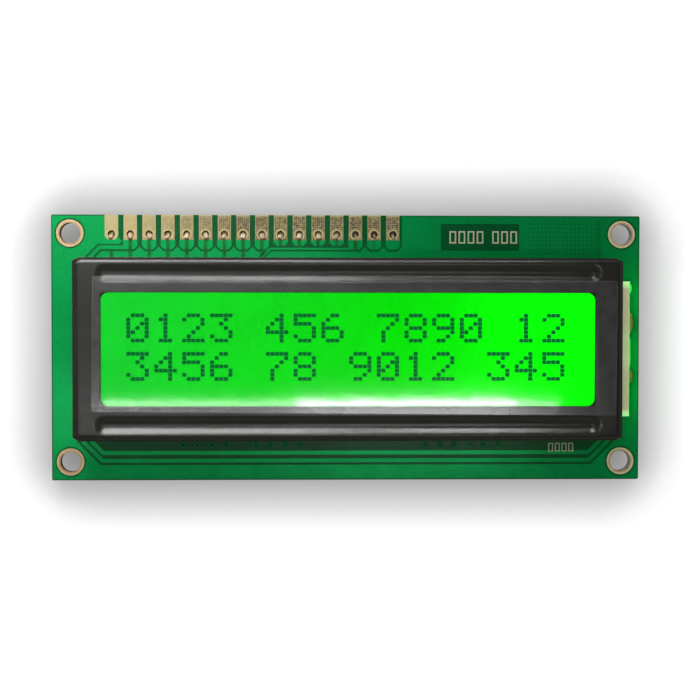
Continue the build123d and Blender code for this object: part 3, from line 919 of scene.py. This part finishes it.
def lead_joint(number):
    """A smooth solder mound over a lead's foot, with the cone round its end below the board."""
    lead_low, lead_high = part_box(f"backlight_lead_{number}")
    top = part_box(f"lead_solder_{number}")[1].z
    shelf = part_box("backlight_board")[1].z
    lead_y = (lead_low.y + lead_high.y) / 2
    tall = top - shelf
    mound_radius, mound_x = 0.66 * MM, lead_low.x + 0.5 * MM
    cone_radius, cone_x = 0.86 * MM, lead_high.x - 0.15 * MM
    stretch, shift = ((1.512, -0.05 * MM), (2.352, -0.35 * MM))[number - 1]
    steps = [(0, 0, 0.3 * tall, 0.97), (0, 0, 0.3 * tall, 0.84), (0.02 * MM, 0.03 * MM, 0.25 * tall, 0.62),
             (0, 0, 0.15 * tall, 0.5)]
    mound = drawn("mound", mound_radius, 24, (mound_x, lead_y + shift, shelf), steps, (1, stretch))
    cone_steps = [(0, 0, -0.22 * MM, 0.72), (0, 0, -0.3 * MM, 0.72), (0, 0, -0.17 * MM, 0.75)]
    cone = drawn("cone", cone_radius, 24, (cone_x, lead_y, board_bottom), cone_steps)
    return smoothed(joined(f"lead_joint_{number}", [mound, cone]), 2)


# Underside

def resin_dome(number):
    """A poured dome with a soft, slightly uneven side and a smooth crown."""
    low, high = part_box(f"chip_cover_{number}")
    centre = (low + high) / 2
    tall, radius = high.z - low.z, 0.985 * (high.x - low.x) / 2
    rim_depth, crown_depth = 0.01 * MM, 0.7 * tall
    steps = [(0, 0, -0.32 * tall, 0.985), (0, 0, -0.28 * tall, 0.9), (0, 0, -0.2 * tall, 0.8),
             (0, 0, -0.12 * tall, 0.68), (0, 0, -0.05 * tall, 0.5), (0, 0, -0.015 * tall, 0.3)]
    piece = drawn(f"resin_dome_{number}", radius, 40, (centre.x, centre.y, high.z), steps)
    bpy.ops.object.mode_set(mode="EDIT")
    pick(piece, "verts", lambda vert: rim_depth < high.z - vert.co.z < crown_depth)
    bpy.ops.transform.vertex_random(offset=0.05 * MM, uniform=1.0, seed=number)
    closed(piece)
    return smoothed(piece, 2)


def chip_part(node):
    """A surface-mounted part: its ceramic body, and a metal cap with a solder fillet at each end."""
    low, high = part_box(node)
    cap, cap_edge, body_edge = 0.4 * MM, 0.07 * MM, 0.03 * MM
    inset = Vector((0.1, 0.04, 0.04)) * MM
    body = boxed(f"{node}_body", low + inset, high - inset, body_edge)
    ends = []
    for x0, x1 in ((low.x, low.x + cap), (high.x - cap, high.x)):
        ends.append(boxed("cap", (x0, low.y, low.z), (x1, high.y, high.z), cap_edge, 3))
    for x, side in ((low.x, -1), (high.x, 1)):
        steps = [(-side * 0.08 * MM, 0, -0.18 * MM, 0.8), (-side * 0.06 * MM, 0, -0.15 * MM, 0.75)]
        base = (x + side * 0.05 * MM, (low.y + high.y) / 2, high.z)
        ends.append(smoothed(drawn("fillet", 0.42 * MM, 16, base, steps, (0.8, 1.4)), 1))
    return body, joined(f"{node}_ends", ends)


def underside_copper():
    """The pour on the back of the board, cut round its holes, its slots and the resin domes."""
    left, right, foot, head = inside_board()
    header_left, header_right, header_foot = -33.8 * MM, 8.2 * MM, 13.6 * MM
    dome_gap, lead_gap, tab_gap = 9.6 * MM, 1.15 * MM, Vector((1.9, 1.2)) * MM
    outline = [(left, foot), (right, foot), (right, head), (header_right, head), (header_right, header_foot),
               (header_left, header_foot), (header_left, head), (left, head)]
    holes = [circle(place.x, place.y, ring_radius + RING_CLEARANCE) for place in ring_places]
    for number in (1, 2):
        centre = middle(f"chip_cover_{number}")
        holes.append(circle(centre.x, centre.y, dome_gap, 48))
        lead_low, lead_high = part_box(f"backlight_lead_{number}")
        holes.append(circle(lead_high.x - 0.15 * MM, (lead_low.y + lead_high.y) / 2, lead_gap, 24))
    for place in TAB_PLACES:
        holes.append(rectangle(place - tab_gap, place + tab_gap))
    return plate("underside_pour", outline, holes, board_bottom - COPPER, board_bottom)


def fan_out(number):
    """The tracks that spread from under a resin dome, every other one ending in a small pad."""
    centre = middle(f"chip_cover_{number}")
    width, end_radius = 0.3 * MM, 0.3 * MM
    made = []
    for i in range(FAN_COUNT):
        turn = 2 * math.pi * i / FAN_COUNT
        heading = Vector((math.cos(turn), math.sin(turn)))
        start = centre.xy + FAN_START * heading
        end = centre.xy + (FAN_LONG if i % 2 else FAN_SHORT) * heading
        made.append(plate("fan", ribbon([start, end], width), [], board_bottom - COPPER, board_bottom))
        if i % 2 == 0:
            made.append(drawn("fan_end", end_radius, 12, (*end, board_bottom), [(0, 0, -1.3 * COPPER, 0.9)]))
    return joined(f"fan_out_{number}", made)


def dome_border(number):
    """A printed ring round a resin dome."""
    centre = middle(f"chip_cover_{number}")
    outer = circle(centre.x, centre.y, DOME_BORDER + BORDER_LINE, 64)
    inner = circle(centre.x, centre.y, DOME_BORDER, 64)
    return plate(f"dome_border_{number}", outer, [inner], board_bottom - 1.6 * COPPER, board_bottom)


# Finishes for the module
mask_tones = (0.0012, 0.33, 0.070), (0.0020, 0.39, 0.090)
laminate_tones = (0.0016, 0.085, 0.020), (0.0024, 0.115, 0.030)
mask_on_copper = solder_mask("mask_over_copper", *mask_tones, shine=0.35)
streaked_mask = solder_mask("streaked_mask", *mask_tones, shine=0.35, streaks=True)
mask_on_laminate = solder_mask("mask_over_laminate", *laminate_tones, raw_edge=True)
via_mask = solder_mask("mask_over_vias", (0.0012, 0.16, 0.040), (0.0020, 0.22, 0.055), shine=0.2)
dark_mask = solder_mask("dark_mask", (0.001, 0.030, 0.008), (0.0015, 0.045, 0.012))
bright_solder = solder("bright_solder", (0.68, 0.57, 0.37), (0.42, 0.29, 0.14), 0.15, flux=True)
dark_solder = solder("dark_solder", (0.50, 0.42, 0.28), (0.16, 0.10, 0.05), 0.3, flux=True)
fluxed_solder = solder("fluxed_solder", (0.36, 0.34, 0.05), (0.26, 0.15, 0.05), 0.3)
tinned_metal = solder("tinned_metal", (0.78, 0.77, 0.74), (0.58, 0.56, 0.52))
glowing_resin = glowing("glowing_resin", (0.10, 0.45, 0.10), (0.008, 0.62, 0.03), 1.0)
glowing_block = glowing("glowing_block", (0.20, 0.60, 0.20), (0.01, 1.0, 0.03), 5.2)
black_resin = moulded("black_resin", (0.012, 0.012, 0.013), (0.006, 0.006, 0.007), 0.25)
label_ink = cream_ink()

painted(["circuit_board"], mask_on_laminate)
painted(["bezel"], black_paint())
painted(["front_polarizer", "rear_polarizer"], polarizer())
painted(["front_glass", "rear_glass"], sheet_glass())
painted(["cell_seal"], moulded("seal_glue", (0.60, 0.59, 0.52), (0.50, 0.48, 0.42)))
painted(["liquid_crystal"], lit_liquid())
painted(["diffuser_film"], moulded("diffusing_film", (0.85, 0.90, 0.84), (0.75, 0.84, 0.75), 0.6))
painted(["upper_contact_strip", "lower_contact_strip"], layered_rubber())
painted(["backlight_board"], moulded("cream_board", (0.60, 0.48, 0.26), (0.50, 0.39, 0.20)))
painted(["backlight_frame"], bridge_plastic())
painted(["light_block"], glowing_block)
painted([f"light_chip_{i}" for i in range(1, 9)], glowing_block)
painted([f"backlight_lead_{i}" for i in (1, 2)], tinned_metal)
painted(ring_nodes, ring_gold())
painted(pad_nodes, pad_gold())

# Board
fitted(ground_pour(), mask_on_copper, "board")
fitted(pad_side_pour(), streaked_mask, "board")
fitted(pad_skirts(), streaked_mask, "board")
fitted(tracks(), mask_on_copper, "board")
fitted(hatched_copper(), mask_on_copper, "board")
fitted(label_frame(), mask_on_copper, "board")
label_boxes = printed_boxes("label_boxes", (LABEL_LOW + LABEL_HIGH) / 2, (-3, -2, -1, 0, 1.7, 2.7, 3.7),
                            0.92 * MM, 1.7 * MM, 0.2 * MM)
small_boxes = printed_boxes("small_boxes", SMALL_BOXES_CENTRE, (-1.5, -0.5, 0.5, 1.5),
                            0.68 * MM, 1.2 * MM, 0.15 * MM)
for boxes in (label_boxes, small_boxes):
    fitted(boxes, label_ink, "board")
for piece, finish in zip(vias(), (via_mask, dark_mask)):
    fitted(piece, finish, "board")

# Header holes: the last ones hold less solder. A bead's shape is its size, its lean and its seed.
bead_shapes = (1.05, 1, 2), (0.95, -1, 5), (1.1, 0, 8)
full_beads = [solder_bead("full_bead", *shape) for shape in bead_shapes]
small_bead = solder_bead("small_bead", 0.66, 1, 3)
for number, x in enumerate(pad_x, 1):
    full = number <= LAST_FULL_BEAD
    bead = copied(full_beads[number % 3] if full else small_bead, f"solder_bead_{number:02d}", (x, 0, 0))
    fitted(bead, bright_solder if full else dark_solder, "solder")
for pattern in (*full_beads, small_bead):
    discarded(pattern)

# Display
dot_finish = dark_dots()
for line in display_lines():
    fitted(line, dot_finish, "liquid")
fitted(film_sheet(), clear_film(), "film", "protective_film")

# Backlight end and underside
fitted(glow_bead(), glowing_resin, "light_block")
for number in (1, 2):
    fitted(lead_joint(number), fluxed_solder, "solder", f"lead_solder_{number}")
    fitted(resin_dome(number), black_resin, "resin", f"chip_cover_{number}")
    fitted(fan_out(number), mask_on_copper, "board")
    fitted(dome_border(number), label_ink, "board")
fitted(underside_copper(), mask_on_copper, "board")

resistor_ceramic = moulded("resistor_ceramic", (0.02, 0.02, 0.022), (0.012, 0.012, 0.014), 0.4)
capacitor_ceramic = moulded("capacitor_ceramic", (0.36, 0.20, 0.10), (0.28, 0.15, 0.07), 0.45)
for kind, count, ceramic in (("resistor", 6, resistor_ceramic), ("capacitor", 2, capacitor_ceramic)):
    for number in range(1, count + 1):
        body, ends = chip_part(f"{kind}_{number}")
        fitted(body, ceramic, kind, f"{kind}_{number}")
        fitted(ends, tinned_metal, "solder")


# Studio

FLOOR_SIZE, FLOOR_GAP, SHADOW_REACH = 6, 0.02 * MM, 8 * MM


def white_floor():
    """A pale floor that keeps the module's soft shadow."""
    nothing_selected()
    bpy.ops.mesh.primitive_plane_add(size=FLOOR_SIZE, location=(0, 0, -FLOOR_GAP))
    floor = bpy.context.active_object
    floor.name = "floor"
    finish = Finish("pale_floor")
    shade = finish.nodes.new("ShaderNodeAmbientOcclusion")
    shade.inputs["Distance"].default_value = SHADOW_REACH
    shade.samples = 32
    path = finish.nodes.new("ShaderNodeLightPath")
    shadow = finish.ramp(shade.outputs["AO"], (0.0, 0.13), (0.4, 0.29), (0.79, 0.50), (0.92, 0.66),
                         (1.0, 0.96))
    lift = finish.maths("MULTIPLY", shadow, path.outputs["Is Camera Ray"])
    finish.set(base_color=(0.15, 0.15, 0.15), roughness=0.9, specular_ior_level=0.0,
               emission_color=(1.0, 1.0, 1.0), emission_strength=lift)
    floor.data.materials.append(finish.material)
    floor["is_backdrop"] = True


def studio_world():
    """White for the camera, an even fill, and reflections that are dark overhead and paler low down."""
    world = bpy.data.worlds.new("studio")
    bpy.context.scene.world = world
    world.use_nodes = True
    nodes, links = world.node_tree.nodes, world.node_tree.links
    path = nodes.new("ShaderNodeLightPath")
    place = nodes.new("ShaderNodeTexCoord")
    axes = nodes.new("ShaderNodeSeparateXYZ")
    links.new(place.outputs["Generated"], axes.inputs["Vector"])
    sky = nodes.new("ShaderNodeValToRGB")
    for element, (at, grey) in zip(sky.color_ramp.elements, ((0.30, 0.32), (0.88, 0.02))):
        element.position = at
        element.color = (grey, 0.99 * grey, 0.84 * grey, 1)
    links.new(axes.outputs["Z"], sky.inputs["Fac"])
    fill = nodes.new("ShaderNodeMix")
    fill.data_type = "RGBA"
    fill.inputs[6].default_value = (0.33, 0.33, 0.33, 1)
    links.new(path.outputs["Is Glossy Ray"], fill.inputs[0])
    links.new(sky.outputs["Color"], fill.inputs[7])
    seen = nodes.new("ShaderNodeMix")
    seen.data_type = "RGBA"
    seen.inputs[7].default_value = (1, 1, 1, 1)
    links.new(path.outputs["Is Camera Ray"], seen.inputs[0])
    links.new(fill.outputs[2], seen.inputs[6])
    links.new(seen.outputs[2], nodes["Background"].inputs["Color"])


def soft_light(name, place, aim, size, watts, spread=180):
    """A rectangular soft light aimed at a point. Its longer side lies level."""
    data = bpy.data.lights.new(name, "AREA")
    data.shape = "RECTANGLE"
    data.size, data.size_y = size[0] * MM, size[1] * MM
    data.energy = watts
    data.spread = math.radians(spread)
    light = bpy.data.objects.new(name, data)
    bpy.context.collection.objects.link(light)
    light.location = Vector(place) * MM
    light.rotation_mode = "QUATERNION"
    light.rotation_quaternion = ((Vector(aim) - Vector(place)) * MM).to_track_quat("-Z", "Y")


def photo_camera():
    """The photograph's view, almost straight down."""
    focal_length, sensor = 78.38, 36
    tilt_angle, swing_angle, roll_angle = -1.554, -1.897, 0.014
    data = bpy.data.cameras.new("camera")
    data.lens = focal_length
    data.sensor_width = sensor
    data.clip_start = 10 * MM
    camera = bpy.data.objects.new("camera", data)
    bpy.context.collection.objects.link(camera)
    tilt = Matrix.Rotation(math.radians(tilt_angle), 4, "X")
    swing = Matrix.Rotation(math.radians(swing_angle), 4, "Y")
    roll = Matrix.Rotation(math.radians(roll_angle), 4, "Z")
    place = Matrix.Translation(Vector((-6.47, 5.33, 210.91)) * MM)
    camera.matrix_world = place @ tilt @ swing @ roll
    bpy.context.scene.camera = camera


# The overhead lamps shine in the window, the film and the board's left end, the strips in the bezel's bends
# and troughs, and the corner light at the troughs' left ends. Places and sizes are in millimetres.
white_floor()
studio_world()
soft_light("overhead_strip", (22, -21.7, 215), (22, -21.7, 0), (58, 6), 0.0145)
soft_light("overhead_tube", (-9, -23.0, 215), (-9, -23.0, 0), (142, 8), 0.0180)
soft_light("overhead_left", (-86, -7, 215), (-86, -7, 0), (48, 46), 0.0018)
soft_light("overhead_far_left", (-54, 38, 215), (-54, 38, 0), (112, 44), 0.0250)
soft_light("high_strip", (-30, 100, 131), (-30, 4, 12), (85, 9), 0.0050, 50)
soft_light("upper_strip_left", (-38, 120, 101), (-38, 0, 12), (80, 9), 0.0048, 50)
soft_light("upper_strip_right", (30, 120, 101), (30, 0, 12), (36, 8), 0.0023, 50)
soft_light("lower_strip", (-33, 120, 73), (-33, 9, 12), (75, 9), 0.0030, 50)
soft_light("corner_light", (-50, 55, 72), (-34, 5, 0), (30, 30), 0.0033, 60)
photo_camera()
bpy.context.scene.view_settings.view_transform = "Standard"

visual_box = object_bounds()
boxes = {"cad": [list(corner) for corner in cad_box], "visual": [list(corner) for corner in visual_box]}
